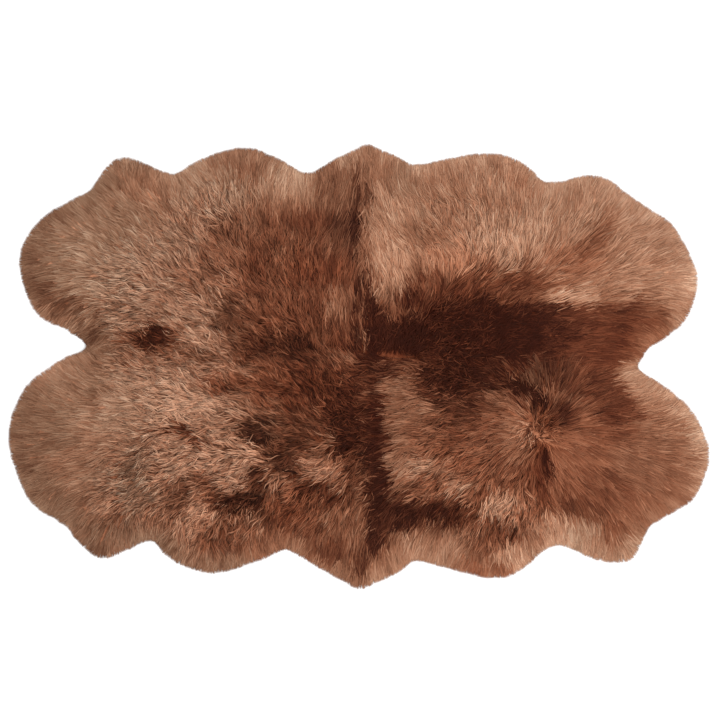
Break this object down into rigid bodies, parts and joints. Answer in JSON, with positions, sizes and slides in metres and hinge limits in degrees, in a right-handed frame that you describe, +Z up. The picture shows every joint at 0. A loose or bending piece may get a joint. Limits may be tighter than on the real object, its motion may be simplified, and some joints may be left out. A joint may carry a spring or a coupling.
{
  "type": "sheepskin rug",
  "caption": "Large brown sheepskin rug with long combed wool and a scalloped, tufted edge, sewn two by two from whole skins.",
  "frame": {"origin": "middle of the rug's box, on the floor under its skin side", "axes": "+X along the rug's length, to the right in the picture; +Y across it, to the top of the picture; +Z up, out of the wool"},
  "size_m": [1.7978, 1.1394, 0.0581],
  "materials": {
    "wool_back_left": "long combed wool, brown with darker roots",
    "wool_front_left": "long combed wool, brown with darker roots",
    "wool_front_right": "long combed wool, reddish brown with darker roots",
    "wool_back_right": "long combed wool, light brown with darker roots"
  },
  "bodies": {
    "root": {"sheepskin_back_left": "wool_back_left", "sheepskin_front_left": "wool_front_left", "sheepskin_front_right": "wool_front_right", "sheepskin_back_right": "wool_back_right"}
  },
  "joints": []
}
